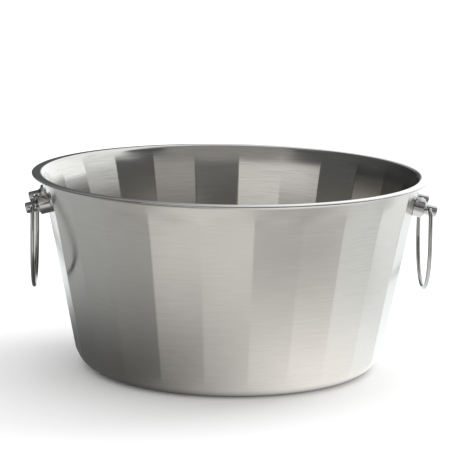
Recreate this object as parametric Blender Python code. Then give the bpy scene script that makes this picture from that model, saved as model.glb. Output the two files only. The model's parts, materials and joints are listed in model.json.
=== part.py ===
"""Large double-walled steel party tub with two drop-ring handles.

Frame: +Z up, origin at the middle of the underside, front at -Y, the two handles at -X and +X.
Lengths are in metres. Angles round the tub are counted from +X towards +Y.
"""

from math import atan, cos, floor, hypot, pi, radians, sin

import bmesh
import bpy
from mathutils import Matrix, Vector

# ---- driving dimensions ----
RIM_R = 0.2286            # outer edge of the rim
HEIGHT = 0.225            # table to the top of the rim
SHEET = 0.0008            # thickness of each steel sheet
GAP = 0.0003              # running gap between neighbouring pieces
WALL_R_TOP = 0.2167       # mean radius of the outer wall, carried straight up to the rim plane
WALL_R_BASE = 0.1731      # the same wall carried down to the table plane
LINER_INSET = 0.0086      # outer wall to the inside face of the liner
FLOOR_GAP = 0.0080        # outer floor to the liner's floor

FACETS = 24               # flats round each wall
FACET_COLUMNS = 3         # mesh columns in each flat
SHELL_PHASE = radians(3.8)        # one corner of the outer flats, from +X
LINER_PHASE = radians(10.3)       # one corner of the liner's flats, from +X
SHELL_UNEVEN = radians(0.85)      # how far the outer corners wander from even spacing
UNEVEN_PHASE = radians(67.7)      # they wander four times round the tub, counted from here
FADE_BELOW_RIM = (0.013, 0.024)   # the outer flats grow out of the round band between these depths
LINER_FADE_BELOW_RIM = (0.0075, 0.0170)  # the liner's flats do so between these depths
FADE_ABOVE_FLOOR = (0.010, 0.024)  # and die out again above the floor

BASE_FILLET = 0.028       # outer wall to outer floor
LINER_FILLET = 0.024      # liner wall to liner floor
NECK_R = 0.006            # outer wall turning out under the lip
LIP_R = 0.0060            # liner turning out on to the lip
FLARE_FROM = 0.170        # height where the walls start to flare
FLARE_FULL = 0.194        # height where the flare reaches its full slope
FLARE_SLOPE = 0.062       # extra outward slope at full flare
RIM_FLARE_FROM = 0.203    # the liner alone flares again above this height
RIM_FLARE_FULL = 0.215    # height where that second flare reaches its full slope
RIM_FLARE_SLOPE = 0.36    # extra slope of that second flare

POST_TILT = radians(14.4)  # posts point outwards and this much down
POST_SPACING = 0.0744     # between the two posts of a handle
POST_END = (0.2181, 0.1910)  # distance from the axis and height of the collar's outer face
COLLAR_R = 0.011
COLLAR_CHAMFER = 0.0006
SHANK_R = 0.003
EYE_R = 0.00625           # round eye that holds the ring
EYE_ROOT_R = 0.0090       # eye's flared foot against the collar
EYE_ROOT_LENGTH = 0.0030
EYE_ROOT_STEP = 0.0012    # how far the foot narrows in its first third
EYE_LENGTH = 0.0158
EYE_EDGE = 0.0010
HOLE_AT = 0.0072          # ring hole, out from the collar's face
RING_HOLE_R = 0.0032
PLATE_THICKNESS = 0.0008
PLATE_MARGIN = radians(3.6)  # plate beyond the post's angle
PLATE_HEIGHTS = (0.1835, 0.1940, 0.2005)
WASHER_R = 0.0050
WASHER_THICKNESS = 0.0005
HEAD_R = 0.0045           # peened head of the shank
HEAD_THICKNESS = 0.0012
HEAD_TOP_R = 0.0036       # its flat end
FOOT_OVERLAP = 0.002      # extra length on a collar, cut away again by the wall's shape

WIRE_R = 0.0026           # ring wire
RING_HALF_WIDTH = 0.055   # centre of the wire to the ring's middle
RING_DROP = 0.097         # pivot axis to the lowest wire centre
RING_FLAT = 0.0447        # half the straight top that runs through the eyes
RING_CORNER_R = 0.0075

PAD_R = 0.125             # cork pad between the two floors

# ---- mesh resolution and tool sizes ----
POST_SEGMENTS = 24
STUD_SEGMENTS = 20
DRILL_SEGMENTS = 16
PAD_SEGMENTS = 48
WIRE_SEGMENTS = 10
DEPTH_SEARCH = 0.03       # deepest point looked at behind a collar's face
DEPTH_STEP = 1e-6
DRILL_NEAR = 0.0065       # the shank drill runs between these depths behind the collar's face
DRILL_FAR = 0.0225
WALL_TOOL_MARGIN = 0.012  # the collars' wall tool starts this far below the flare and rim
WALL_TOOL_STEPS = 6

TAPER = (WALL_R_TOP - WALL_R_BASE) / HEIGHT
WALL_ANGLE = atan(TAPER)
MEAN_FACTOR = (1 + cos(pi / FACETS)) / 2
PIVOT = Vector((POST_END[0] + HOLE_AT * cos(POST_TILT), 0, POST_END[1] - HOLE_AT * sin(POST_TILT)))

# ---- the two walls ----
# A wall is described by its floor height, radius at the rim plane, floor fillet, lip bend radius,
# lip height, fade depths and facet phase. Offset moves its surface in towards the ice.
SHELL = {
    "floor": 0.0,
    "top_radius": WALL_R_TOP,
    "fillet": BASE_FILLET,
    "bend": NECK_R,
    "rim_flare": 0,
    "lip": HEIGHT - 2 * SHEET - GAP,
    "edge": RIM_R - GAP,
    "fade": FADE_BELOW_RIM,
    "phase": SHELL_PHASE,
    "uneven": SHELL_UNEVEN,
}
LINER = {
    "floor": SHEET + FLOOR_GAP + SHEET,
    "top_radius": WALL_R_TOP - LINER_INSET,
    "fillet": LINER_FILLET,
    "bend": LIP_R,
    "rim_flare": RIM_FLARE_SLOPE,
    "lip": HEIGHT,
    "edge": RIM_R,
    "fade": LINER_FADE_BELOW_RIM,
    "phase": LINER_PHASE,
    "uneven": 0,
}


def smooth_step(value, low, high):
    """0 at low, 1 at high, level at both ends."""
    share = min(1, max(0, (value - low) / (high - low)))
    return share * share * (3 - 2 * share)


def facet_weight(wall, z):
    """How fully the wall is faceted at a height: 0 is round, 1 is a polygon."""
    top = 1 - smooth_step(z, HEIGHT - wall["fade"][1], HEIGHT - wall["fade"][0])
    low, high = (wall["floor"] + lift for lift in FADE_ABOVE_FLOOR)
    return top * smooth_step(z, low, high)


def corner_angle(wall, index):
    """Where the corner between flats index - 1 and index stands."""
    even = wall["phase"] + 2 * pi * index / FACETS
    return even + wall["uneven"] * sin(4 * (even - UNEVEN_PHASE))


def facet_factor(wall, angle, weight):
    """Radius at an angle over the mean radius."""
    index = floor((angle - wall["phase"]) * FACETS / (2 * pi))
    if angle < corner_angle(wall, index):
        index -= 1
    elif angle >= corner_angle(wall, index + 1):
        index += 1
    start, end = corner_angle(wall, index), corner_angle(wall, index + 1)
    polygon = cos((end - start) / 2) / cos(angle - (start + end) / 2)
    return 1 + weight * (polygon - MEAN_FACTOR)


def flare(z, start, full, slope):
    """Extra radius and extra slope at a height, of a flare that grows between two heights."""
    rise = full - start
    climbed = min(max(z - start, 0), rise)
    extra_radius = slope * (climbed ** 2 / (2 * rise) + max(z - full, 0))
    return extra_radius, slope * climbed / rise


def mean_radius(wall, z):
    """Mean radius of the wall's reference face at a height, with its flares near the top."""
    common = flare(z, FLARE_FROM, FLARE_FULL, FLARE_SLOPE)[0]
    own = flare(z, RIM_FLARE_FROM, RIM_FLARE_FULL, wall["rim_flare"])[0]
    return wall["top_radius"] - TAPER * (HEIGHT - z) + common + own


def slope_angle(wall, z):
    """Lean of the wall away from vertical at a height."""
    common = flare(z, FLARE_FROM, FLARE_FULL, FLARE_SLOPE)[1]
    own = flare(z, RIM_FLARE_FROM, RIM_FLARE_FULL, wall["rim_flare"])[1]
    return atan(TAPER + common + own)


def wall_rows(wall, offset, fillet_steps, flare_steps, fade_steps, bend_steps):
    """The wall's profile from the floor's edge to the lip's edge, as (mean radius, height, weight)."""
    rows = []
    fillet = wall["fillet"]
    centre_z = wall["floor"] + fillet
    touch_z = centre_z - fillet * sin(WALL_ANGLE)
    centre_r = mean_radius(wall, touch_z) - fillet * cos(WALL_ANGLE)
    for step in range(fillet_steps + 1):
        turn = -pi / 2 + (pi / 2 - WALL_ANGLE) * step / fillet_steps
        height = centre_z + fillet * sin(turn)
        reach = fillet - offset
        rows.append((
            centre_r + reach * cos(turn),
            centre_z + reach * sin(turn),
            facet_weight(wall, height),
        ))

    fade_low, fade_high = HEIGHT - wall["fade"][1], HEIGHT - wall["fade"][0]
    heights = [
        FLARE_FROM + (fade_low - FLARE_FROM) * step / flare_steps for step in range(flare_steps + 1)
    ]
    heights += [
        fade_low + (fade_high - fade_low) * (step + 1) / fade_steps for step in range(fade_steps)
    ]
    for z in heights:
        lean = slope_angle(wall, z)
        rows.append((
            mean_radius(wall, z) - offset * cos(lean),
            z + offset * sin(lean),
            facet_weight(wall, z),
        ))

    bend = wall["bend"]
    flared = slope_angle(wall, wall["lip"])
    bend_z = wall["lip"] - bend * (1 - sin(flared))
    centre_r = mean_radius(wall, bend_z) + bend * cos(flared)
    centre_z = wall["lip"] - bend
    for step in range(bend_steps + 1):
        turn = flared + (pi / 2 - flared) * step / bend_steps
        reach = bend + offset
        rows.append((centre_r - reach * cos(turn), centre_z + reach * sin(turn), 0))
    rows.append((wall["edge"], wall["lip"] + offset, 0))
    return rows


def wall_point(wall, offset, angle, z):
    """A point on the wall's straight or flared part, moved in by offset."""
    lean = slope_angle(wall, z)
    factor = facet_factor(wall, angle, facet_weight(wall, z))
    radius = mean_radius(wall, z) * factor - offset * cos(lean)
    return Vector((radius * cos(angle), radius * sin(angle), z + offset * sin(lean)))


# ---- mesh helpers ----
def add_ring_of_verts(mesh, wall, row):
    radius, z, weight = row
    verts = []
    for index in range(FACETS):
        start, end = corner_angle(wall, index), corner_angle(wall, index + 1)
        for column in range(FACET_COLUMNS):
            angle = start + (end - start) * column / FACET_COLUMNS
            reach = radius * facet_factor(wall, angle, weight)
            verts.append(mesh.verts.new((reach * cos(angle), reach * sin(angle), z)))
    return verts


def bridge(mesh, lower, upper):
    """Quads between two rings of verts; they face outwards when upper is above lower."""
    count = len(lower)
    for i in range(count):
        j = (i + 1) % count
        mesh.faces.new((lower[i], lower[j], upper[j], upper[i]))


def solid_from_rows(wall, rows):
    """Closed body through the rows, with a flat polygon at both ends."""
    mesh = bmesh.new()
    rings = [add_ring_of_verts(mesh, wall, row) for row in rows]
    for lower, upper in zip(rings, rings[1:]):
        bridge(mesh, lower, upper)
    mesh.faces.new(reversed(rings[0]))
    mesh.faces.new(rings[-1])
    return mesh


def turned_solid(profile, segments):
    """Closed body turned about Z from (radius, height) pairs, bottom to top; radius 0 closes an end."""
    mesh = bmesh.new()
    rings = []
    for radius, z in profile:
        if radius == 0:
            rings.append([mesh.verts.new((0, 0, z))])
        else:
            turn = 2 * pi / segments
            rings.append([
                mesh.verts.new((radius * cos(turn * i), radius * sin(turn * i), z))
                for i in range(segments)
            ])
    pairs = list(zip(rings, rings[1:]))
    if profile[0][0] != 0:
        pairs.append((rings[-1], rings[0]))
    for lower, upper in pairs:
        if len(lower) == 1:
            for i in range(segments):
                mesh.faces.new((lower[0], upper[(i + 1) % segments], upper[i]))
        elif len(upper) == 1:
            for i in range(segments):
                mesh.faces.new((lower[i], lower[(i + 1) % segments], upper[0]))
        else:
            bridge(mesh, lower, upper)
    bmesh.ops.recalc_face_normals(mesh, faces=mesh.faces)
    return mesh


def make_object(name, mesh, material, parent=None, matrix=None, smooth=True):
    """Links a new object made from a bmesh, with its material and place."""
    data = bpy.data.meshes.new(name)
    mesh.to_mesh(data)
    mesh.free()
    if smooth:
        data.shade_smooth()
        data.set_sharp_from_angle(angle=radians(30))
    if material:
        data.materials.append(material)
    piece = bpy.data.objects.new(name, data)
    bpy.context.scene.collection.objects.link(piece)
    place(piece, parent, matrix)
    return piece


def place(piece, parent, matrix):
    piece.parent = parent
    if matrix is not None:
        piece.matrix_local = matrix


def make_cutter(name, mesh, parent=None, matrix=None):
    """A tool shape that is subtracted from pieces and never shown."""
    cutter = make_object(name, mesh, None, parent, matrix, smooth=False)
    cutter.hide_render = True
    cutter.display_type = "WIRE"
    return cutter


def cut(piece, cutter):
    tool = piece.modifiers.new("cut_" + cutter.name, "BOOLEAN")
    tool.operation = "DIFFERENCE"
    tool.solver = "EXACT"
    tool.object = cutter


# ---- materials ----
def steel(name, colour, roughness):
    material = bpy.data.materials.new(name)
    material.use_nodes = True
    shader = material.node_tree.nodes["Principled BSDF"]
    shader.inputs["Base Color"].default_value = (*colour, 1)
    shader.inputs["Roughness"].default_value = roughness
    shader.inputs["Metallic"].default_value = 1
    return material


def cork(name):
    material = steel(name, (0.42, 0.27, 0.15), 0.85)
    material.node_tree.nodes["Principled BSDF"].inputs["Metallic"].default_value = 0
    return material


# ---- tub ----
def build_shell(material):
    outside = wall_rows(SHELL, 0, 4, 2, 2, 3)
    inside = wall_rows(SHELL, SHEET, 3, 2, 2, 2)
    mesh = solid_from_rows(SHELL, outside + inside[::-1])
    return make_object("outer_shell", mesh, material)


def build_liner(material):
    hidden = wall_rows(LINER, -SHEET, 3, 3, 3, 3)
    inside = wall_rows(LINER, 0, 4, 3, 3, 4)
    mesh = solid_from_rows(LINER, hidden + inside[::-1])
    return make_object("inner_liner", mesh, material)


def build_floor_pad(material):
    low = SHEET + GAP
    high = SHEET + FLOOR_GAP - GAP
    mesh = turned_solid([(0, low), (PAD_R, low), (PAD_R, high), (0, high)], PAD_SEGMENTS)
    return make_object("floor_pad", mesh, material)


# ---- posts and rings, drawn for the handle at +X ----
def post_matrix(side):
    """Post frame: +Z along the post, out of the tub; origin at the middle of the collar's face."""
    axis = Vector((cos(POST_TILT), 0, -sin(POST_TILT)))
    across = Vector((0, 1, 0))
    origin = Vector((POST_END[0], side * POST_SPACING / 2, POST_END[1]))
    matrix = Matrix((across.cross(axis), across, axis)).transposed().to_4x4()
    matrix.translation = origin
    return matrix


def wall_depth(side, radius, offset):
    """Depth behind the collar's face where a coaxial tube first comes through the shell's offset face."""
    matrix = post_matrix(side)
    flared = slope_angle(SHELL, HEIGHT)
    deepest = 0
    for i in range(POST_SEGMENTS):
        turn = 2 * pi * i / POST_SEGMENTS
        low, high = 0.0, DEPTH_SEARCH
        while high - low > DEPTH_STEP:
            middle = (low + high) / 2
            point = matrix @ Vector((radius * cos(turn), radius * sin(turn), -middle))
            angle = Vector((point.x, point.y)).angle_signed(Vector((1, 0)))
            wall = wall_point(SHELL, offset, angle, point.z - offset * sin(flared))
            if hypot(point.x, point.y) > hypot(wall.x, wall.y):
                low = middle
            else:
                high = middle
        deepest = max(deepest, high)
    return deepest


def build_collar(name, side, material, parent, wall_cutter):
    buried = wall_depth(side, COLLAR_R, 0) + FOOT_OVERLAP
    bore = SHANK_R + GAP
    edge = COLLAR_CHAMFER
    profile = [
        (COLLAR_R, -buried),
        (COLLAR_R, -edge),
        (COLLAR_R - edge, 0),
        (bore, 0),
        (bore, -buried),
    ]
    mesh = turned_solid(profile, POST_SEGMENTS)
    collar = make_object(name, mesh, material, parent, post_matrix(side))
    cut(collar, wall_cutter)
    return collar


def washer_depth(side):
    """Depth of the washer's face that looks at the backing plate."""
    return wall_depth(side, WASHER_R, SHEET + GAP + PLATE_THICKNESS) + GAP


def build_eye_stud(name, side, material, parent, hole_cutter):
    head_top = washer_depth(side) + WASHER_THICKNESS + GAP
    foot = GAP
    profile = [
        (0, -head_top - HEAD_THICKNESS),
        (HEAD_TOP_R, -head_top - HEAD_THICKNESS),
        (HEAD_R, -head_top - HEAD_THICKNESS / 2),
        (HEAD_R, -head_top),
        (SHANK_R, -head_top),
        (SHANK_R, foot),
        (EYE_ROOT_R, foot),
        (EYE_ROOT_R - EYE_ROOT_STEP, foot + EYE_ROOT_LENGTH / 3),
        (EYE_R, foot + EYE_ROOT_LENGTH),
        (EYE_R, EYE_LENGTH - EYE_EDGE),
        (EYE_R - EYE_EDGE, EYE_LENGTH),
        (0, EYE_LENGTH),
    ]
    mesh = turned_solid(profile, STUD_SEGMENTS)
    stud = make_object(name, mesh, material, parent, post_matrix(side))
    cut(stud, hole_cutter)
    return stud


def build_washer(name, side, material, parent):
    """Washer under a stud's peened head."""
    face = -washer_depth(side)
    bore = SHANK_R + GAP
    back = face - WASHER_THICKNESS
    profile = [(WASHER_R, back), (WASHER_R, face), (bore, face), (bore, back)]
    mesh = turned_solid(profile, STUD_SEGMENTS)
    return make_object(name, mesh, material, parent, post_matrix(side))


def build_backing_plate(name, material, parent, stud_cutter):
    """Strip bent to the inside of the shell behind both posts, following its flats."""
    half_angle = atan(POST_SPACING / 2 / POST_END[0]) + PLATE_MARGIN
    corners = [corner_angle(SHELL, index) for index in range(-2, 3)]
    angles = [-half_angle] + [a for a in corners if abs(a) < half_angle] + [half_angle]
    mesh = bmesh.new()
    faces = []
    for offset in (SHEET + GAP, SHEET + GAP + PLATE_THICKNESS):
        faces.append([
            [mesh.verts.new(wall_point(SHELL, offset, a, z)) for a in angles] for z in PLATE_HEIGHTS
        ])
    outer, inner = faces
    for i in range(len(PLATE_HEIGHTS) - 1):
        for j in range(len(angles) - 1):
            for sheet in faces:
                mesh.faces.new((sheet[i][j], sheet[i][j + 1], sheet[i + 1][j + 1], sheet[i + 1][j]))
    for j in range(len(angles) - 1):
        for i in (0, -1):
            mesh.faces.new((outer[i][j], outer[i][j + 1], inner[i][j + 1], inner[i][j]))
    for i in range(len(PLATE_HEIGHTS) - 1):
        for j in (0, -1):
            mesh.faces.new((outer[i][j], outer[i + 1][j], inner[i + 1][j], inner[i][j]))
    bmesh.ops.recalc_face_normals(mesh, faces=mesh.faces)
    plate = make_object(name, mesh, material, parent, smooth=False)
    cut(plate, stud_cutter)
    return plate


def arc(centre, radius, start, end, steps):
    """Points on an arc in the ring's plane, as (across, down) pairs."""
    points = []
    for i in range(steps + 1):
        turn = start + (end - start) * i / steps
        points.append((centre[0] + radius * cos(turn), centre[1] + radius * sin(turn)))
    return points


def ring_path():
    """Middle line of the ring: a straight top, two tight corners, bowed sides and a round bottom."""
    circle_drop = RING_DROP - RING_HALF_WIDTH
    corner_out = RING_FLAT + RING_CORNER_R
    bow = RING_HALF_WIDTH - corner_out
    side_drop = circle_drop - RING_CORNER_R
    side_r = (side_drop**2 + bow**2) / (2 * bow)
    side_turn = atan(side_drop / (side_r - bow))
    half = arc((RING_FLAT, RING_CORNER_R), RING_CORNER_R, -pi / 2, -side_turn, 4)
    half += arc((RING_HALF_WIDTH - side_r, circle_drop), side_r, -side_turn, 0, 4)[1:]
    half += arc((0, circle_drop), RING_HALF_WIDTH, 0, pi / 2, 9)[1:]
    mirrored = [(-x, drop) for x, drop in half[-2::-1]]
    return half + mirrored


def sweep(path, radius, sides):
    """Round wire along a closed path of (across, down) pairs, in the YZ plane."""
    mesh = bmesh.new()
    points = [Vector((0, x, -drop)) for x, drop in path]
    count = len(points)
    rings = []
    for i, point in enumerate(points):
        ahead = (points[(i + 1) % count] - point).normalized()
        behind = (point - points[i - 1]).normalized()
        along = (ahead + behind).normalized()
        normal = Vector((1, 0, 0))
        binormal = along.cross(normal)
        stretch = 1 / max(0.5, along.dot(ahead))
        ring = []
        for k in range(sides):
            turn = 2 * pi * (k + 0.5) / sides
            ring.append(mesh.verts.new(
                point + radius * (cos(turn) * normal + stretch * sin(turn) * binormal)
            ))
        rings.append(ring)
    for i in range(count):
        bridge(mesh, rings[i], rings[(i + 1) % count])
    bmesh.ops.recalc_face_normals(mesh, faces=mesh.faces)
    return mesh


def build_ring(name, material, parent):
    return make_object(name, sweep(ring_path(), WIRE_R, WIRE_SEGMENTS), material, parent)


def build_wall_cutter():
    """The tub's filled-in outside near the posts, a gap larger, that shapes the collars' feet."""
    high = HEIGHT - WALL_TOOL_MARGIN
    heights = [FLARE_FROM - WALL_TOOL_MARGIN]
    for step in range(WALL_TOOL_STEPS + 1):
        heights.append(FLARE_FROM + (high - FLARE_FROM) * step / WALL_TOOL_STEPS)
    rows = [(mean_radius(SHELL, z) + GAP, z, facet_weight(SHELL, z)) for z in heights]
    return make_cutter("wall_cutter", solid_from_rows(SHELL, rows))


def build_stud_cutter(parent):
    """Two clearance drills, one on each post's axis."""
    group = bmesh.new()
    for side in (-1, 1):
        bmesh.ops.create_cone(
            group,
            cap_ends=True,
            segments=DRILL_SEGMENTS,
            radius1=SHANK_R + GAP,
            radius2=SHANK_R + GAP,
            depth=DRILL_FAR - DRILL_NEAR,
            matrix=post_matrix(side) @ Matrix.Translation((0, 0, -(DRILL_NEAR + DRILL_FAR) / 2)),
        )
    return make_cutter(parent.name + "_stud_cutter", group, parent)


def build_ring_hole_cutter(parent):
    """One drill across both eyes, on the ring's pivot axis."""
    drill = bmesh.new()
    bmesh.ops.create_cone(
        drill,
        cap_ends=True,
        segments=STUD_SEGMENTS,
        radius1=RING_HOLE_R,
        radius2=RING_HOLE_R,
        depth=POST_SPACING + 4 * EYE_R,
        matrix=Matrix.Translation(PIVOT) @ Matrix.Rotation(pi / 2, 4, "X"),
    )
    return make_cutter(parent.name + "_hole_cutter", drill, parent)


def build_handle(side_name, turn, finishes, shell, wall_cutter):
    """One handle: an empty turns everything that is drawn at +X round to its side of the tub."""
    holder = bpy.data.objects.new(side_name + "_handle", None)
    bpy.context.scene.collection.objects.link(holder)
    holder.rotation_euler.z = turn
    bpy.context.view_layer.update()

    stud_cutter = build_stud_cutter(holder)
    hole_cutter = build_ring_hole_cutter(holder)
    cut(shell, stud_cutter)
    build_backing_plate(side_name + "_backing_plate", finishes["brushed"], holder, stud_cutter)
    for side in (-1, 1):
        end_name = "front" if side * cos(turn) < 0 else "back"
        label = f"{side_name}_{end_name}"
        build_collar(label + "_collar", side, finishes["polished"], holder, wall_cutter)
        build_eye_stud(label + "_eye_stud", side, finishes["polished"], holder, hole_cutter)
        build_washer(label + "_washer", side, finishes["polished"], holder)

    pivot = bpy.data.objects.new(side_name + "_ring_pivot", None)
    bpy.context.scene.collection.objects.link(pivot)
    pivot.parent = holder
    pivot.location = PIVOT
    build_ring(side_name + "_ring_handle", finishes["polished"], pivot)


def main():
    for old in list(bpy.data.objects):
        bpy.data.objects.remove(old)
    finishes = {
        "brushed": steel("brushed_steel", (0.62, 0.61, 0.59), 0.32),
        "polished": steel("polished_steel", (0.66, 0.65, 0.63), 0.18),
    }
    shell = build_shell(finishes["brushed"])
    build_liner(finishes["brushed"])
    build_floor_pad(cork("cork"))
    wall_cutter = build_wall_cutter()
    build_handle("right", 0, finishes, shell, wall_cutter)
    build_handle("left", pi, finishes, shell, wall_cutter)


main()
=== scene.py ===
"""Looks for the steel party tub: fine brushed-steel walls, polished posts and rings, studio and camera.

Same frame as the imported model: metres, +Z up, front at -Y, handles at -X and +X.
Angles round the tub are counted from +X towards +Y, studio bearings from the camera's side to the right.
"""

import json
from math import atan, cos, pi, radians, sin

import bmesh
import bpy
from mathutils import Matrix, Vector
from mathutils.bvhtree import BVHTree


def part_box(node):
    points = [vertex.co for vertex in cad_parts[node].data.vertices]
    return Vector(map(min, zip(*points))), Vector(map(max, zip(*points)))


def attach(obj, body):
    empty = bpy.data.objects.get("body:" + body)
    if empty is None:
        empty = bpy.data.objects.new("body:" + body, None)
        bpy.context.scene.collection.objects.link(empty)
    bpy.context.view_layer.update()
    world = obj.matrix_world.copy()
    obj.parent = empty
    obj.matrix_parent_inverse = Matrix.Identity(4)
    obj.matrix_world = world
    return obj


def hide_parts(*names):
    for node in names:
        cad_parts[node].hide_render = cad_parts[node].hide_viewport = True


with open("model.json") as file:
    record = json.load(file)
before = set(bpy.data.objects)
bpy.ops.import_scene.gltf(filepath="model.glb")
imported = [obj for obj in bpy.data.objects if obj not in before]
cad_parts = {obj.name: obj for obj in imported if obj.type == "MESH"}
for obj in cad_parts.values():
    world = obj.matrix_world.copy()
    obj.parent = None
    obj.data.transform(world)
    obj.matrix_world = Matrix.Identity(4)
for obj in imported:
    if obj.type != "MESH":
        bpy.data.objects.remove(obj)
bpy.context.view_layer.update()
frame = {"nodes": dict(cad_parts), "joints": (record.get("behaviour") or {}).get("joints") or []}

# ---- sizes read from the frame ----
LINER_LOW, LINER_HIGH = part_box("inner_liner")
SHELL_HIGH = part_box("outer_shell")[1]
RING_LOW, RING_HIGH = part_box("right_ring_handle")
HEIGHT = LINER_HIGH.z
RIM_R = LINER_HIGH.x
PIVOT = Vector(next(j["pos_m"] for j in frame["joints"] if j["name"] == "right_ring_swing"))
WIRE_R = (RING_HIGH.x - RING_LOW.x) / 2

# ---- driving dimensions of the walls ----
SHEET = 0.0008
WALL_R_TOP = 0.2167       # mean radius of the outer wall, carried straight up to the rim plane
WALL_R_BASE = 0.1731      # the same wall carried down to the table plane
LINER_INSET = 0.0086      # outer wall to the inside face of the liner
FACETS = 24
SHELL_PHASE = radians(3.8)
LINER_PHASE = radians(10.3)
SHELL_UNEVEN = radians(0.85)
UNEVEN_PHASE = radians(67.7)
FADE_BELOW_RIM = (0.013, 0.024)
LINER_FADE_BELOW_RIM = (0.0075, 0.0170)
FADE_ABOVE_FLOOR = (0.010, 0.024)
BASE_FILLET = 0.028
LINER_FILLET = 0.024
NECK_R = 0.006
LIP_R = 0.0060
FLARE_FROM = 0.170
FLARE_FULL = 0.194
FLARE_SLOPE = 0.062
RIM_FLARE_FROM = 0.203    # the liner alone flares again above this height
RIM_FLARE_FULL = 0.215    # height where that second flare reaches its full slope
RIM_FLARE_SLOPE = 0.36    # extra slope of that second flare
LIP_CROWN = 0.0004        # how far the lip's edge droops
LIP_CROWN_FROM = 0.2205   # radius where the droop starts
CORNER_WIDTH = 0.05       # share of a flat, at each end, that is rounded into the corner

# ---- driving dimensions of the posts and rings ----
POST_TILT = radians(14.4)
POST_SPACING = 0.0744
COLLAR_R = 0.011
COLLAR_EDGE_R = 0.0007
POST_BORE_R = 0.0033
POST_HOLE_DEPTH = 0.03
FITTING_GAP = 0.0003
EYE_R = 0.00625
EYE_ROOT_R = 0.0090
EYE_LENGTH = 0.0158
EYE_END_R = 0.0016        # round at the eye's outer end
EYE_FOOT = 0.0003         # gap from the collar's face to the eye's root
SHANK_R = 0.003           # pin through the collar
HEAD_R = 0.0045           # peened head at the pin's inner end
HEAD_HEIGHT = 0.001
HOLE_AT = 0.0072
RING_HOLE_R = 0.0032
MOUTH_AT = 0.86 * EYE_R   # where the hole starts to widen, from its middle
COUNTERSINK = 0.0024      # how much wider the hole's cutter is at its ends
ROOT_PROFILE = (          # eye's root, as (radius, height above the eye's foot)
    (EYE_ROOT_R, 0),
    (EYE_ROOT_R - 0.0004, 0.0007),
    (EYE_ROOT_R - 0.0014, 0.0014),
    (EYE_R + 0.0006, 0.0022),
    (EYE_R, 0.0034),
)
RING_HALF_WIDTH = 0.055
RING_DROP = 0.097
RING_FLAT = 0.0447
RING_CORNER_R = 0.0075

# ---- how finely the meshes are stepped ----
FLAT_COLUMNS = 6
FILLET_STEPS = 20
WALL_STEPS = 44
BEND_STEPS = 14
LIP_STEPS = 6
LIP_EDGE_STEPS = 8
COLLAR_SIDES = 72
COLLAR_EDGE_STEPS = 6
EYE_SIDES = 64
EYE_END_STEPS = 8
DRILL_SIDES = 40
WIRE_SIDES = 28
RING_TOP_STEPS = 12
RING_SIDE_STEPS = 14
RING_BOTTOM_STEPS = 36
SHARP_ANGLE = radians(38)

TAPER = (WALL_R_TOP - WALL_R_BASE) / HEIGHT
WALL_ANGLE = atan(TAPER)
MEAN_FACTOR = (1 + cos(pi / FACETS)) / 2

SHELL = {
    "floor": 0.0,
    "top_radius": WALL_R_TOP,
    "fillet": BASE_FILLET,
    "bend": NECK_R,
    "rim_flare": 0,
    "lip": SHELL_HIGH.z - SHEET,
    "edge": SHELL_HIGH.x,
    "fade": FADE_BELOW_RIM,
    "phase": SHELL_PHASE,
    "uneven": SHELL_UNEVEN,
    "flatness": 0.94,
}
LINER = {
    "floor": LINER_LOW.z + SHEET,
    "top_radius": WALL_R_TOP - LINER_INSET,
    "fillet": LINER_FILLET,
    "bend": LIP_R,
    "rim_flare": RIM_FLARE_SLOPE,
    "lip": HEIGHT,
    "edge": RIM_R,
    "fade": LINER_FADE_BELOW_RIM,
    "phase": LINER_PHASE,
    "uneven": 0,
    "flatness": 0.78,
}


# ---- the faceted walls ----
def arc(centre, radius, start, end, steps):
    """Points on an arc in a profile's plane or the ring's plane, as pairs."""
    points = []
    for step in range(steps + 1):
        turn = start + (end - start) * step / steps
        points.append((centre[0] + radius * cos(turn), centre[1] + radius * sin(turn)))
    return points


def smooth_step(value, low, high):
    share = min(1, max(0, (value - low) / (high - low)))
    return share * share * (3 - 2 * share)


def facet_weight(wall, z):
    """How fully the wall is faceted at a height: 0 is round, 1 is a polygon."""
    top = 1 - smooth_step(z, HEIGHT - wall["fade"][1], HEIGHT - wall["fade"][0])
    low, high = (wall["floor"] + lift for lift in FADE_ABOVE_FLOOR)
    return wall["flatness"] * top * smooth_step(z, low, high)


def corner_angle(wall, index):
    even = wall["phase"] + 2 * pi * index / FACETS
    return even + wall["uneven"] * sin(4 * (even - UNEVEN_PHASE))


def flare(z, start, full, slope):
    """Extra radius and extra slope at a height, of a flare that grows between two heights."""
    rise = full - start
    climbed = min(max(z - start, 0), rise)
    extra_radius = slope * (climbed ** 2 / (2 * rise) + max(z - full, 0))
    return extra_radius, slope * climbed / rise


def mean_radius(wall, z):
    """Mean radius of the wall's reference face at a height, with its flares near the top."""
    common = flare(z, FLARE_FROM, FLARE_FULL, FLARE_SLOPE)[0]
    own = flare(z, RIM_FLARE_FROM, RIM_FLARE_FULL, wall["rim_flare"])[0]
    return wall["top_radius"] - TAPER * (HEIGHT - z) + common + own


def slope_angle(wall, z):
    """Lean of the wall away from vertical at a height."""
    common = flare(z, FLARE_FROM, FLARE_FULL, FLARE_SLOPE)[1]
    own = flare(z, RIM_FLARE_FROM, RIM_FLARE_FULL, wall["rim_flare"])[1]
    return atan(TAPER + common + own)


def flat_columns(wall, index):
    """Angles across one flat, close together at its corners, with the polygon's radius factor."""
    start, end = corner_angle(wall, index), corner_angle(wall, index + 1)
    shares = [0, CORNER_WIDTH / 2, CORNER_WIDTH]
    inner_width = 1 - 2 * CORNER_WIDTH
    shares += [CORNER_WIDTH + inner_width * (i + 1) / FLAT_COLUMNS for i in range(FLAT_COLUMNS)]
    shares.append(1 - CORNER_WIDTH / 2)
    middle = (start + end) / 2
    for share in shares:
        angle = start + (end - start) * share
        yield angle, cos((end - start) / 2) / cos(angle - middle)


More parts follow.
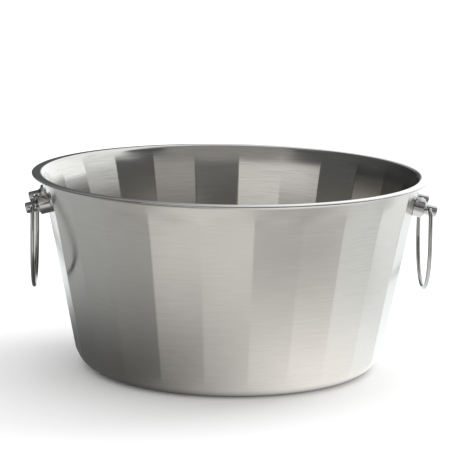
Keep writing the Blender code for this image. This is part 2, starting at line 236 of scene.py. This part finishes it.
def wall_profile(wall, offset):
    """Rows from the floor's edge to the lip's edge, as (mean radius, height, weight)."""
    rows = []
    fillet = wall["fillet"]
    centre_z = wall["floor"] + fillet
    touch_z = centre_z - fillet * sin(WALL_ANGLE)
    centre_r = mean_radius(wall, touch_z) - fillet * cos(WALL_ANGLE)
    for step in range(FILLET_STEPS + 1):
        turn = -pi / 2 + (pi / 2 - WALL_ANGLE) * step / FILLET_STEPS
        height = centre_z + fillet * sin(turn)
        reach = fillet - offset
        rows.append((
            centre_r + reach * cos(turn),
            centre_z + reach * sin(turn),
            facet_weight(wall, height),
        ))
    bend = wall["bend"]
    flared = slope_angle(wall, wall["lip"])
    bend_z = wall["lip"] - bend * (1 - sin(flared))
    for step in range(1, WALL_STEPS):
        z = touch_z + (bend_z - touch_z) * step / WALL_STEPS
        lean = slope_angle(wall, z)
        rows.append((
            mean_radius(wall, z) - offset * cos(lean),
            z + offset * sin(lean),
            facet_weight(wall, z),
        ))
    centre_r = mean_radius(wall, bend_z) + bend * cos(flared)
    centre_z = wall["lip"] - bend
    for step in range(BEND_STEPS + 1):
        turn = flared + (pi / 2 - flared) * step / BEND_STEPS
        reach = bend + offset
        radius = centre_r - reach * cos(turn)
        rows.append((radius, centre_z + reach * sin(turn) - droop(radius), 0))
    start, end = centre_r, wall["edge"] - SHEET / 2
    for step in range(1, LIP_STEPS):
        radius = start + (end - start) * step / LIP_STEPS
        rows.append((radius, wall["lip"] + offset - droop(radius), 0))
    return rows


def droop(radius):
    """How far the crowned lip has dropped at a radius."""
    share = max(0, (radius - LIP_CROWN_FROM) / (RIM_R - LIP_CROWN_FROM))
    return LIP_CROWN * share * share


def lip_edge(top_z, edge):
    """Rounded outer edge of a lip, from its upper face round to its lower one."""
    middle = edge - SHEET / 2
    points = arc((middle, top_z - SHEET / 2), SHEET / 2, pi / 2, -pi / 2, LIP_EDGE_STEPS)
    return [(radius, z - droop(middle), 0) for radius, z in points]


def ring_of_verts(mesh, wall, row):
    """Closed row of verts round the tub, pulled towards the polygon by the row's weight."""
    radius, z, weight = row
    verts = []
    for index in range(FACETS):
        for angle, polygon in flat_columns(wall, index):
            reach = radius * (1 + weight * (polygon - MEAN_FACTOR))
            verts.append(mesh.verts.new((reach * cos(angle), reach * sin(angle), z)))
    return verts


def bridge(mesh, lower, upper):
    """Faces between two closed rows of verts."""
    count = len(lower)
    for i in range(count):
        j = (i + 1) % count
        mesh.faces.new((lower[i], lower[j], upper[j], upper[i]))


def cap(mesh, ring, z, upward):
    """Fans a ring of verts to its centre through one smaller ring, for a floor."""
    middle = [mesh.verts.new((v.co.x * 0.5, v.co.y * 0.5, z)) for v in ring]
    centre = mesh.verts.new((0, 0, z))
    count = len(ring)
    for i in range(count):
        j = (i + 1) % count
        quad = (ring[i], ring[j], middle[j], middle[i])
        fan = (middle[i], middle[j], centre)
        mesh.faces.new(quad if upward else quad[::-1])
        mesh.faces.new(fan if upward else fan[::-1])


def sheet_mesh(wall, outer_rows, inner_rows):
    """Closed steel sheet between two profiles that both run from the floor to the lip."""
    mesh = bmesh.new()
    outer = [ring_of_verts(mesh, wall, row) for row in outer_rows]
    inner = [ring_of_verts(mesh, wall, row) for row in inner_rows]
    rings = outer + inner[::-1]
    for lower, upper in zip(rings, rings[1:]):
        bridge(mesh, lower, upper)
    cap(mesh, outer[0], outer_rows[0][1], False)
    cap(mesh, inner[0], inner_rows[0][1], True)
    return mesh


# ---- making objects ----
def add_object(name, mesh, material, body, replaced):
    """Links a bmesh as a finished piece that rides a body and stands in for CAD nodes."""
    data = bpy.data.meshes.new(name)
    mesh.to_mesh(data)
    mesh.free()
    data.shade_smooth()
    data.set_sharp_from_angle(angle=SHARP_ANGLE)
    data.materials.append(material)
    piece = bpy.data.objects.new(name, data)
    bpy.context.scene.collection.objects.link(piece)
    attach(piece, body)
    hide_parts(*replaced)
    return piece


# ---- shader graphs ----
STREAK_DEPTH = 1.2e-4     # height of the brush marks for a streak strength of 1
LIP_POLISH = 0.45         # the lip's roughness over the wall's
POLISHED_FROM = HEIGHT - 0.008
POLISHED_FULL = HEIGHT - 0.002
HANDLING_DEPTH = 8e-6     # height of the handling marks on polished steel

# Brush marks as (stretch across them, noise scale, detail, roughness)
FINE_MARKS = (150, 8, 3, 0.6)
SHORT_MARKS = (240, 5, 2, 0.6)
COARSE_MARKS = (160, 4, 2, 0.5)

OUTER_FINISH = {"colour": (0.645, 0.62, 0.575), "roughness": 0.19, "streak": 0.02, "wave": 0.0002}
LINER_FINISH = {"colour": (0.62, 0.595, 0.555), "roughness": 0.17, "streak": 0.05, "wave": 0.0003}
PLAIN_FINISH = {"colour": (0.52, 0.52, 0.51), "roughness": 0.4, "streak": 0.05, "wave": 0}
POST_FINISH = {"colour": (0.54, 0.53, 0.51), "roughness": 0.14}
RING_FINISH = {"colour": (0.44, 0.43, 0.42), "roughness": 0.12}
CORK_DARK = (0.30, 0.17, 0.08, 1)
CORK_LIGHT = (0.55, 0.37, 0.21, 1)


class Graph:
    """Short spellings for building a node tree."""

    def __init__(self, tree):
        self.tree = tree
        tree.nodes.clear()

    def node(self, kind, **settings):
        made = self.tree.nodes.new(kind)
        for name, value in settings.items():
            setattr(made, name, value)
        return made

    def feed(self, socket, value):
        if isinstance(value, bpy.types.NodeSocket):
            self.tree.links.new(value, socket)
        else:
            socket.default_value = value

    def math(self, operation, *values):
        made = self.node("ShaderNodeMath", operation=operation)
        for socket, value in zip(made.inputs, values):
            self.feed(socket, value)
        return made.outputs[0]

    def between(self, value, low, high, to_low=0.0, to_high=1.0):
        """Smooth change from to_low to to_high while value goes from low to high."""
        made = self.node("ShaderNodeMapRange", interpolation_type="SMOOTHSTEP")
        for socket, number in zip(made.inputs, (value, low, high, to_low, to_high)):
            self.feed(socket, number)
        return made.outputs[0]

    def mix(self, factor, first, second):
        made = self.node("ShaderNodeMix", data_type="RGBA")
        self.feed(made.inputs[0], factor)
        self.feed(made.inputs[6], first)
        self.feed(made.inputs[7], second)
        return made.outputs[2]

    def split(self, vector):
        made = self.node("ShaderNodeSeparateXYZ")
        self.feed(made.inputs[0], vector)
        return made.outputs

    def join(self, x, y, z):
        made = self.node("ShaderNodeCombineXYZ")
        for socket, value in zip(made.inputs, (x, y, z)):
            self.feed(socket, value)
        return made.outputs[0]

    def noise(self, vector, scale, detail=2.0, roughness=0.5):
        made = self.node("ShaderNodeTexNoise")
        self.feed(made.inputs["Vector"], vector)
        made.inputs["Scale"].default_value = scale
        made.inputs["Detail"].default_value = detail
        made.inputs["Roughness"].default_value = roughness
        return made.outputs["Fac"]

    def bump(self, height):
        """Surface normals from a height in metres."""
        made = self.node("ShaderNodeBump")
        made.inputs["Strength"].default_value = 1
        made.inputs["Distance"].default_value = 1
        self.feed(made.inputs["Height"], height)
        return made.outputs[0]

    def surface(self, shader):
        output = self.node("ShaderNodeOutputMaterial")
        self.feed(output.inputs["Surface"], shader.outputs[0])

    def bearing(self, x, y):
        """Degrees round the studio from the camera's side, positive to the right."""
        turn = self.math("ARCTAN2", x, self.math("MULTIPLY", y, -1))
        return self.math("MULTIPLY", turn, 180 / pi)

    def cards(self, bearing, ambient, cards, edge):
        """Soft-edged cards, each a (middle, width, tone), before an ambient tone; they join up behind."""
        tone = ambient
        for middle, width, card in cards:
            turn = self.math("WRAP", self.math("SUBTRACT", bearing, middle), 180, -180)
            away = self.math("ABSOLUTE", turn)
            half = width / 2
            cover = self.between(away, half - edge, half + edge, 1, 0)
            gap = self.math("SUBTRACT", card, tone)
            tone = self.math("ADD", tone, self.math("MULTIPLY", gap, cover))
        return tone

    def tinted(self, tone, bearing):
        """A grey tone, a little cooler towards the sides and the back of the studio."""
        cool = self.between(self.math("ABSOLUTE", bearing), *COOL_BEARINGS)
        parts = [
            self.math("MULTIPLY", tone, self.between(cool, 0, 1, 1, share)) for share in COOL_TINT
        ]
        return self.join(*parts)


def new_material(name):
    material = bpy.data.materials.new(name)
    material.use_nodes = True
    return material, Graph(material.node_tree)


def metal(g, colour, tone, roughness, height):
    """Metal whose colour is scaled by a tone, with bump from a height in metres."""
    tinted = g.node("ShaderNodeVectorMath", operation="SCALE")
    tinted.inputs[0].default_value = colour
    g.feed(tinted.inputs["Scale"], tone)
    shader = g.node("ShaderNodeBsdfPrincipled")
    g.feed(shader.inputs["Base Color"], tinted.outputs[0])
    shader.inputs["Metallic"].default_value = 1
    g.feed(shader.inputs["Roughness"], roughness)
    g.feed(shader.inputs["Normal"], g.bump(height))
    g.surface(shader)
    return shader


def brushed_steel(name, colour, roughness, streak, wave):
    """Steel brushed round the tub: blurred up and down, fine streaks, slightly wavy flats."""
    material, g = new_material(name)
    coordinates = g.node("ShaderNodeTexCoord").outputs["Object"]
    x, y, z = g.split(coordinates)
    radius = g.math("SQRT", g.math("ADD", g.math("MULTIPLY", x, x), g.math("MULTIPLY", y, y)))
    radius = g.math("MAXIMUM", radius, 1e-4)
    round_x, round_y = g.math("DIVIDE", x, radius), g.math("DIVIDE", y, radius)
    # Grows up the walls and out across the floors, so the marks run round the tub on both.
    along = g.math("ADD", z, g.math("MULTIPLY", radius, 0.6))
    fine, short, coarse = (
        g.noise(g.join(round_x, round_y, g.math("MULTIPLY", along, stretch)), *grain)
        for stretch, *grain in (FINE_MARKS, SHORT_MARKS, COARSE_MARKS)
    )
    mottle = g.noise(coordinates, 16, 2, 0.5)
    waves = g.noise(coordinates, 9, 1, 0.5)

    tone = g.math("ADD", g.between(fine, 0.25, 0.75, -streak, streak), 1)
    tone = g.math("ADD", tone, g.between(coarse, 0.3, 0.7, -streak * 0.5, streak * 0.5))
    tone = g.math("ADD", tone, g.between(short, 0.3, 0.7, -streak, streak))
    tone = g.math("ADD", tone, g.between(mottle, 0.3, 0.7, -0.02, 0.02))

    height = g.math("MULTIPLY", fine, streak * STREAK_DEPTH)
    height = g.math("ADD", height, g.math("MULTIPLY", waves, wave))
    lip = g.between(z, POLISHED_FROM, POLISHED_FULL, 1, LIP_POLISH)
    rough = g.math("MULTIPLY", g.between(fine, 0.2, 0.8, roughness * 0.92, roughness * 1.08), lip)
    shader = metal(g, colour, tone, rough, height)
    tangent = g.node("ShaderNodeTangent", direction_type="RADIAL", axis="Z")
    shader.inputs["Anisotropic"].default_value = 1
    shader.inputs["Anisotropic Rotation"].default_value = 0.25
    g.feed(shader.inputs["Tangent"], tangent.outputs[0])
    return material


def polished_steel(name, colour, roughness):
    """Turned and polished steel with faint handling marks."""
    material, g = new_material(name)
    coordinates = g.node("ShaderNodeTexCoord").outputs["Object"]
    marks = g.noise(coordinates, 260, 4, 0.6)
    cloud = g.noise(coordinates, 60, 2, 0.5)
    tone = g.between(cloud, 0.3, 0.7, 0.94, 1.04)
    rough = g.between(marks, 0.3, 0.7, roughness * 0.85, roughness * 1.2)
    metal(g, colour, tone, rough, g.math("MULTIPLY", marks, HANDLING_DEPTH))
    return material


def cork():
    """Pressed cork granules, for the pad between the floors."""
    material, g = new_material("cork_pad")
    coordinates = g.node("ShaderNodeTexCoord").outputs["Object"]
    cells = g.node("ShaderNodeTexVoronoi")
    g.feed(cells.inputs["Vector"], coordinates)
    cells.inputs["Scale"].default_value = 320
    fine = g.noise(coordinates, 700, 3, 0.6)
    grain = g.math("MULTIPLY", cells.outputs["Distance"], fine)
    colour = g.mix(g.between(grain, 0.05, 0.4), CORK_DARK, CORK_LIGHT)
    bump = g.node("ShaderNodeBump")
    bump.inputs["Distance"].default_value = 0.0004
    g.feed(bump.inputs["Height"], grain)
    shader = g.node("ShaderNodeBsdfPrincipled")
    g.feed(shader.inputs["Base Color"], colour)
    shader.inputs["Roughness"].default_value = 0.85
    g.feed(shader.inputs["Normal"], bump.outputs[0])
    g.surface(shader)
    return material


# ---- tub pieces ----
def build_shell(material):
    outside = wall_profile(SHELL, 0)
    inside = wall_profile(SHELL, SHEET)
    edge = lip_edge(SHELL["lip"] + SHEET, SHELL["edge"])
    mesh = sheet_mesh(SHELL, outside + edge[::-1], inside)
    return add_object("shell_skin", mesh, material, "tub", ["outer_shell"])


def build_liner(material):
    hidden = wall_profile(LINER, -SHEET)
    inside = wall_profile(LINER, 0)
    edge = lip_edge(HEIGHT, RIM_R)
    mesh = sheet_mesh(LINER, hidden + edge[::-1], inside)
    return add_object("liner_skin", mesh, material, "tub", ["inner_liner"])


# ---- posts ----
def post_matrix(turn, side):
    """Post frame: +Z along the post, out of the tub; origin at the middle of the collar's face."""
    axis = Vector((cos(POST_TILT), 0, -sin(POST_TILT)))
    across = Vector((0, 1, 0))
    origin = PIVOT - HOLE_AT * axis + across * side * POST_SPACING / 2
    matrix = Matrix((across.cross(axis), across, axis)).transposed().to_4x4()
    matrix.translation = origin
    return Matrix.Rotation(turn, 4, "Z") @ matrix


def cad_depth(name, matrix):
    """How far a CAD piece reaches back into the wall, from the collar's face."""
    inverse = matrix.inverted()
    return -min((inverse @ vert.co).z for vert in frame["nodes"][name].data.vertices)


def turned_mesh(profile, segments, matrix):
    """Body turned about the post's axis from (radius, height) pairs, bottom to top."""
    mesh = bmesh.new()
    rings = []
    for radius, z in profile:
        if radius == 0:
            rings.append([mesh.verts.new((0, 0, z))])
        else:
            rings.append([
                mesh.verts.new((radius * cos(2 * pi * i / segments), radius * sin(2 * pi * i / segments), z))
                for i in range(segments)
            ])
    pairs = list(zip(rings, rings[1:]))
    if profile[0][0] != 0:
        pairs.append((rings[-1], rings[0]))
    for lower, upper in pairs:
        if len(lower) == 1:
            for i in range(segments):
                mesh.faces.new((lower[0], upper[(i + 1) % segments], upper[i]))
        elif len(upper) == 1:
            for i in range(segments):
                mesh.faces.new((lower[i], lower[(i + 1) % segments], upper[0]))
        else:
            bridge(mesh, lower, upper)
    bmesh.ops.recalc_face_normals(mesh, faces=mesh.faces)
    mesh.transform(matrix)
    return mesh


def fit_to_wall(mesh, matrix, buried, wall):
    """Shapes a collar's back end to the wall, leaving the fitting gap."""
    inverse = matrix.inverted()
    axis = matrix.to_3x3() @ Vector((0, 0, 1))
    for vert in mesh.verts:
        local = inverse @ vert.co
        if local.z < -buried / 2:
            start = matrix @ Vector((local.x, local.y, 0))
            vert.co = wall.ray_cast(start, -axis)[0] + axis * FITTING_GAP


def build_collar(name, matrix, material, wall):
    buried = cad_depth(name, matrix)
    edge = COLLAR_EDGE_R
    profile = [(POST_BORE_R, -buried), (COLLAR_R, -buried)]
    profile += arc((COLLAR_R - edge, -edge), edge, 0, pi / 2, COLLAR_EDGE_STEPS)
    profile.append((POST_BORE_R, 0))
    mesh = turned_mesh(profile, COLLAR_SIDES, matrix)
    fit_to_wall(mesh, matrix, buried, wall)
    return add_object(name + "_turned", mesh, material, "tub", [name])


def build_eye(name, matrix, hole_matrix, material):
    """Eye stud: peened head, pin through the collar, root narrowing to the eye, rounded end."""
    buried = cad_depth(name, matrix)
    head_top = -buried + HEAD_HEIGHT
    foot, end = EYE_FOOT, EYE_END_R
    profile = [(0, -buried), (HEAD_R, -buried), (HEAD_R, head_top), (SHANK_R, head_top)]
    profile.append((SHANK_R, foot))
    profile += [(radius, foot + rise) for radius, rise in ROOT_PROFILE]
    profile += arc((EYE_R - end, EYE_LENGTH - end), end, 0, pi / 2, EYE_END_STEPS)
    profile.append((0, EYE_LENGTH))
    mesh = turned_mesh(profile, EYE_SIDES, matrix)
    eye = add_object(name + "_turned", mesh, material, "tub", [name])
    drill_hole(eye, hole_matrix)
    return eye


def drill_hole(eye, hole_matrix):
    """Cuts the ring's hole through an eye, with a countersunk mouth on both sides."""
    reach = 2 * EYE_R
    wide = RING_HOLE_R + COUNTERSINK
    profile = [(0, -reach), (wide, -reach), (RING_HOLE_R, -MOUTH_AT)]
    profile += [(RING_HOLE_R, MOUTH_AT), (wide, reach), (0, reach)]
    drill(eye, profile, hole_matrix)


def drill(piece, profile, matrix):
    """Cuts a turned shape out of a piece."""
    data = bpy.data.meshes.new("drill")
    mesh = turned_mesh(profile, DRILL_SIDES, matrix)
    mesh.to_mesh(data)
    mesh.free()
    cutter = bpy.data.objects.new("drill", data)
    bpy.context.scene.collection.objects.link(cutter)
    tool = piece.modifiers.new("hole", "BOOLEAN")
    tool.operation = "DIFFERENCE"
    tool.solver = "EXACT"
    tool.object = cutter
    graph = bpy.context.evaluated_depsgraph_get()
    cut = bpy.data.meshes.new_from_object(piece.evaluated_get(graph))
    piece.modifiers.clear()
    piece.data = cut
    bpy.data.objects.remove(cutter)
    piece.data.set_sharp_from_angle(angle=SHARP_ANGLE)


# ---- rings ----
def ring_path():
    """Middle line of the ring: a straight top, two tight corners, bowed sides and a round bottom."""
    circle_drop = RING_DROP - RING_HALF_WIDTH
    corner_out = RING_FLAT + RING_CORNER_R
    bow = RING_HALF_WIDTH - corner_out
    side_drop = circle_drop - RING_CORNER_R
    side_r = (side_drop**2 + bow**2) / (2 * bow)
    side_turn = atan(side_drop / (side_r - bow))
    side_centre = (RING_HALF_WIDTH - side_r, circle_drop)
    half = [(RING_FLAT * i / RING_TOP_STEPS, 0) for i in range(RING_TOP_STEPS)]
    half += arc((RING_FLAT, RING_CORNER_R), RING_CORNER_R, -pi / 2, -side_turn, RING_SIDE_STEPS)
    half += arc(side_centre, side_r, -side_turn, 0, RING_SIDE_STEPS)[1:]
    half += arc((0, circle_drop), RING_HALF_WIDTH, 0, pi / 2, RING_BOTTOM_STEPS)[1:]
    mirrored = [(-across, drop) for across, drop in half[-2:0:-1]]
    return half + mirrored


def sweep(path, radius, sides):
    """Round wire along a closed path of (across, down) pairs, in the YZ plane."""
    mesh = bmesh.new()
    points = [Vector((0, across, -drop)) for across, drop in path]
    count = len(points)
    rings = []
    for i, point in enumerate(points):
        ahead = (points[(i + 1) % count] - point).normalized()
        behind = (point - points[i - 1]).normalized()
        along = (ahead + behind).normalized()
        normal = Vector((1, 0, 0))
        binormal = along.cross(normal)
        ring = []
        for k in range(sides):
            turn = 2 * pi * k / sides
            ring.append(mesh.verts.new(point + radius * (cos(turn) * normal + sin(turn) * binormal)))
        rings.append(ring)
    for i in range(count):
        bridge(mesh, rings[i], rings[(i + 1) % count])
    bmesh.ops.recalc_face_normals(mesh, faces=mesh.faces)
    return mesh


def build_ring(side_name, turn, material):
    mesh = sweep(ring_path(), WIRE_R, WIRE_SIDES)
    mesh.transform(Matrix.Rotation(turn, 4, "Z") @ Matrix.Translation(PIVOT))
    return add_object(
        side_name + "_ring_wire",
        mesh,
        material,
        side_name + "_ring",
        [side_name + "_ring_handle"],
    )


def build_handles(post_finish, ring_finish, shell):
    """Posts and rings at both ends. The collars are fitted to the wall as it is before drilling."""
    wall = BVHTree.FromPolygons(
        [vert.co for vert in shell.data.vertices],
        [face.vertices for face in shell.data.polygons],
    )
    post_hole = [(0, -POST_HOLE_DEPTH), (POST_BORE_R, -POST_HOLE_DEPTH), (POST_BORE_R, 0), (0, 0)]
    drill_turn = Matrix.Rotation(pi / 2, 4, "X")
    for side_name, turn in (("right", 0), ("left", pi)):
        for side in (-1, 1):
            end_name = "front" if side * cos(turn) < 0 else "back"
            label = f"{side_name}_{end_name}"
            matrix = post_matrix(turn, side)
            along = Vector((0, side * POST_SPACING / 2, 0))
            hole = Matrix.Rotation(turn, 4, "Z") @ Matrix.Translation(PIVOT + along) @ drill_turn
            build_collar(label + "_collar", matrix, post_finish, wall)
            build_eye(label + "_eye_stud", matrix, hole, post_finish)
            drill(shell, post_hole, matrix)
        build_ring(side_name, turn, ring_finish)


def dress_hidden_pieces():
    """Gives the CAD nodes inside the double wall their own finishes."""
    plain = brushed_steel("plain_steel", **PLAIN_FINISH)
    pad = cork()
    for name, node in frame["nodes"].items():
        if name == "floor_pad":
            finish = pad
        elif name.endswith("_washer") or name.endswith("_backing_plate"):
            finish = plain
        else:
            continue
        node.data.materials.clear()
        node.data.materials.append(finish)


# ---- studio ----
# Bearings are in degrees from the camera's side, positive to the right.
CARD_EDGE = 4             # half the width of a card's soft edge
FLOOR_EDGE = 15           # the same for its softer patch on the floor
AMBIENT = 0.12
LOW_CARDS = (
    (145, 65, 1.4),       # key softbox, behind on the right
    (100, 25, 0.8),       # spill beside it
    (-130, 80, 0.04),     # black flag, behind on the left
    (-35, 40, 1.1),       # fill card, front left
    (40, 20, 0.5),        # small fill card, front right
)
HIGH_CARDS = (
    (140, 110, 1.2),      # top of the key softbox
    (0, 110, 0.35),       # ceiling bounce over the camera
)
LOW_TO_HIGH = (0.17, 0.7)  # sine of the elevation, from low cards only to high cards only
ZENITH_TONE = 0.35
ZENITH_FROM = (0.8, 0.98)  # sine of the elevation, from cards only to zenith only
DOME_SIDE = (0.55, 0.83)  # the dome that lights the floor is brightest on this side, as (x, y)
DOME_TONES = (0.8, 1.65)  # its tone on the dark side and on the bright side
# The floor tones below glow on the floor for reflected rays only: painted light, with painted shadow of the
# tub near it and under it.
SHADE = (0.12, 1.3)       # floor near the tub, on its shaded side and its lit side
SHADE_SIDES = (-0.8, 0.8)  # where the change starts and ends: -1 is straight left, 1 straight right
# Painted light: tone of the far floor in reflections, with patches as (middle, width, tone).
FAR_FLOOR = 0.53
FAR_PAINTED_LIGHT = (
    (-160, 60, 1.1),      # painted light on the far floor, left and right
    (135, 80, 1.15),
    (75, 40, 0.85),
    (-15, 50, 0.9),       # painted pool of fill light on the floor in front
)
NEAR_TO_FAR = (0.2, 0.5)  # distance from the middle, from near floor only to far floor only
CONTACT_TONE = 0.05       # painted contact shadow: floor tone under the tub
CONTACT_SHADOW = (0.150, 0.174)
COOL_BEARINGS = (35, 90)
COOL_TINT = (0.96, 1.0, 1.03)
WHITE = (1, 1, 1, 1)
PALE_FLOOR = (0.9, 0.9, 0.9, 1)
FLOOR_HALF_SIZE = 9
KEY_PLACE = (1.6, 0.9, 1.9)
KEY_AIM = (0, 0, 0.1)
KEY_SIZE = (1.4, 1.4)
KEY_POWER = 25


def build_world():
    """Cards round the studio for reflections, a soft dome for the floor, white to the camera."""
    world = bpy.data.worlds.new("studio")
    bpy.context.scene.world = world
    world.use_nodes = True
    g = Graph(world.node_tree)
    x, y, z = g.split(g.node("ShaderNodeTexCoord").outputs["Generated"])
    bearing = g.bearing(x, y)
    low = g.cards(bearing, AMBIENT, LOW_CARDS, CARD_EDGE)
    high = g.cards(bearing, AMBIENT, HIGH_CARDS, CARD_EDGE)
    rise = g.between(z, *LOW_TO_HIGH)
    walls = g.math("ADD", low, g.math("MULTIPLY", rise, g.math("SUBTRACT", high, low)))
    top = g.between(z, *ZENITH_FROM)
    tone = g.math("ADD", walls, g.math("MULTIPLY", top, g.math("SUBTRACT", ZENITH_TONE, walls)))
    cards = g.tinted(tone, bearing)
    side = g.math("ADD", g.math("MULTIPLY", x, DOME_SIDE[0]), g.math("MULTIPLY", y, DOME_SIDE[1]))
    dome_tone = g.between(side, -1, 1, *DOME_TONES)
    dome = g.join(dome_tone, dome_tone, dome_tone)
    path = g.node("ShaderNodeLightPath")
    seen = g.mix(path.outputs["Is Diffuse Ray"], cards, dome)
    colour = g.mix(path.outputs["Is Camera Ray"], seen, WHITE)
    background = g.node("ShaderNodeBackground")
    g.feed(background.inputs["Color"], colour)
    output = g.node("ShaderNodeOutputWorld")
    g.feed(output.inputs["Surface"], background.outputs[0])


def build_floor():
    """Pale floor: plain white to the camera; in reflections it glows with toned patches of painted light
    round the tub, and painted shadow near and under it.
    """
    material, g = new_material("studio_floor")
    position = g.node("ShaderNodeNewGeometry").outputs["Position"]
    x, y = g.split(position)[:2]
    distance = g.math("SQRT", g.math("ADD", g.math("MULTIPLY", x, x), g.math("MULTIPLY", y, y)))
    bearing = g.bearing(x, y)
    # Painted shadow: dark near the tub on its shaded side, light on its lit side.
    near = g.between(g.math("DIVIDE", x, distance), *SHADE_SIDES, *SHADE)
    far = g.cards(bearing, FAR_FLOOR, FAR_PAINTED_LIGHT, FLOOR_EDGE)
    spread = g.between(distance, *NEAR_TO_FAR)
    open_floor = g.math("ADD", near, g.math("MULTIPLY", spread, g.math("SUBTRACT", far, near)))
    # Painted contact shadow, fading out from under the tub.
    lit = g.between(distance, *CONTACT_SHADOW)
    lifted = g.math("MULTIPLY", lit, g.math("SUBTRACT", open_floor, CONTACT_TONE))
    tone = g.tinted(g.math("ADD", CONTACT_TONE, lifted), bearing)
    # The floor glows with this painted light and shadow, for reflected rays only.
    cards = g.node("ShaderNodeEmission")
    g.feed(cards.inputs["Color"], tone)
    white = g.node("ShaderNodeBsdfDiffuse")
    white.inputs["Color"].default_value = PALE_FLOOR
    path = g.node("ShaderNodeLightPath")
    mixed = g.node("ShaderNodeMixShader")
    g.feed(mixed.inputs[0], path.outputs["Is Glossy Ray"])
    g.feed(mixed.inputs[1], white.outputs[0])
    g.feed(mixed.inputs[2], cards.outputs[0])
    g.surface(mixed)

    mesh = bmesh.new()
    bmesh.ops.create_grid(mesh, x_segments=8, y_segments=8, size=FLOOR_HALF_SIZE)
    data = bpy.data.meshes.new("studio_floor")
    mesh.to_mesh(data)
    mesh.free()
    data.materials.append(material)
    plane = bpy.data.objects.new("studio_floor", data)
    bpy.context.scene.collection.objects.link(plane)


def add_softbox(name, place, aim, size, power):
    """Rectangular lamp that lights the scene but doesn't show in reflections."""
    light = bpy.data.lights.new(name, "AREA")
    light.shape = "RECTANGLE"
    light.size, light.size_y = size
    light.energy = power
    lamp = bpy.data.objects.new(name, light)
    lamp.location = place
    lamp.rotation_euler = (Vector(aim) - Vector(place)).to_track_quat("-Z", "Y").to_euler()
    lamp.visible_glossy = False
    bpy.context.scene.collection.objects.link(lamp)


# ---- camera ----
CAMERA_DISTANCE = 2.5
CAMERA_ELEVATION = radians(11.5)
CAMERA_BEARING = radians(-2.3)
CAMERA_ROLL = radians(0.92)
CAMERA_LENS = 166.6
TUB_MIDDLE = Vector((0, 0, 0.115))
AIM_OFFSET = Vector((0.0032, 0, 0.0387))


def build_camera():
    place = TUB_MIDDLE + CAMERA_DISTANCE * Vector((0, -cos(CAMERA_ELEVATION), sin(CAMERA_ELEVATION)))
    forward = (TUB_MIDDLE + AIM_OFFSET - place).normalized()
    right = forward.cross(Vector((0, 0, 1))).normalized()
    up = right.cross(forward)
    rolled_right = right * cos(CAMERA_ROLL) + up * sin(CAMERA_ROLL)
    rolled_up = up * cos(CAMERA_ROLL) - right * sin(CAMERA_ROLL)
    matrix = Matrix((rolled_right, rolled_up, -forward)).transposed().to_4x4()
    matrix.translation = place
    data = bpy.data.cameras.new("camera")
    data.lens = CAMERA_LENS
    data.sensor_width = 36
    camera = bpy.data.objects.new("camera", data)
    camera.matrix_world = Matrix.Rotation(CAMERA_BEARING, 4, "Z") @ matrix
    bpy.context.scene.collection.objects.link(camera)
    bpy.context.scene.camera = camera


def main():
    scene = bpy.context.scene
    scene.view_settings.view_transform = "Standard"
    outer = brushed_steel("outer_brushed_steel", **OUTER_FINISH)
    liner = brushed_steel("liner_brushed_steel", **LINER_FINISH)
    posts = polished_steel("polished_steel", **POST_FINISH)
    rings = polished_steel("ring_steel", **RING_FINISH)
    shell = build_shell(outer)
    build_liner(liner)
    build_handles(posts, rings, shell)
    dress_hidden_pieces()
    build_world()
    build_floor()
    add_softbox("key", KEY_PLACE, KEY_AIM, KEY_SIZE, KEY_POWER)
    build_camera()


main()
